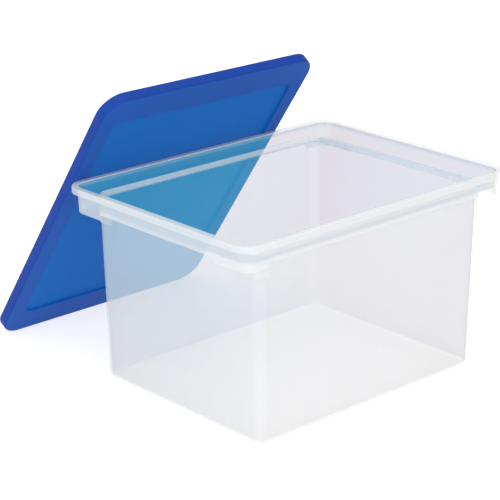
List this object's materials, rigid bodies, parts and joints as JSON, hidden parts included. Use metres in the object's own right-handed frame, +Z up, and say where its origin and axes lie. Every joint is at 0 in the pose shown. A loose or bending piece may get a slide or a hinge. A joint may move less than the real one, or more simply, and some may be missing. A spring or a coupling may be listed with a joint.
{
  "type": "file box",
  "caption": "Open storage tub with rails for hanging folders and a grip all round its rim, and its press-on lid taken off and leaning on its back.",
  "frame": {"origin": "middle of the tub's underside, on the floor", "axes": "+Z up; X along the tub's long side; +Y across it, towards the lid that leans on its back"},
  "size_m": [0.462, 0.5454, 0.3907],
  "materials": {
    "tub_plastic": "lightly frosted clear polypropylene, satin outside",
    "lid_plastic": "opaque blue polypropylene, satin"
  },
  "bodies": {
    "tub": {"tub": "tub_plastic"},
    "lid": {"lid": "lid_plastic"}
  },
  "joints": [
    {"name": "lid_tip", "type": "hinge", "parent": "tub", "child": "lid", "pos_m": [-0.038, 0.36788, 0.0045], "axis": [-1, 0, 0], "range_deg": [0, 124.98]}
  ]
}
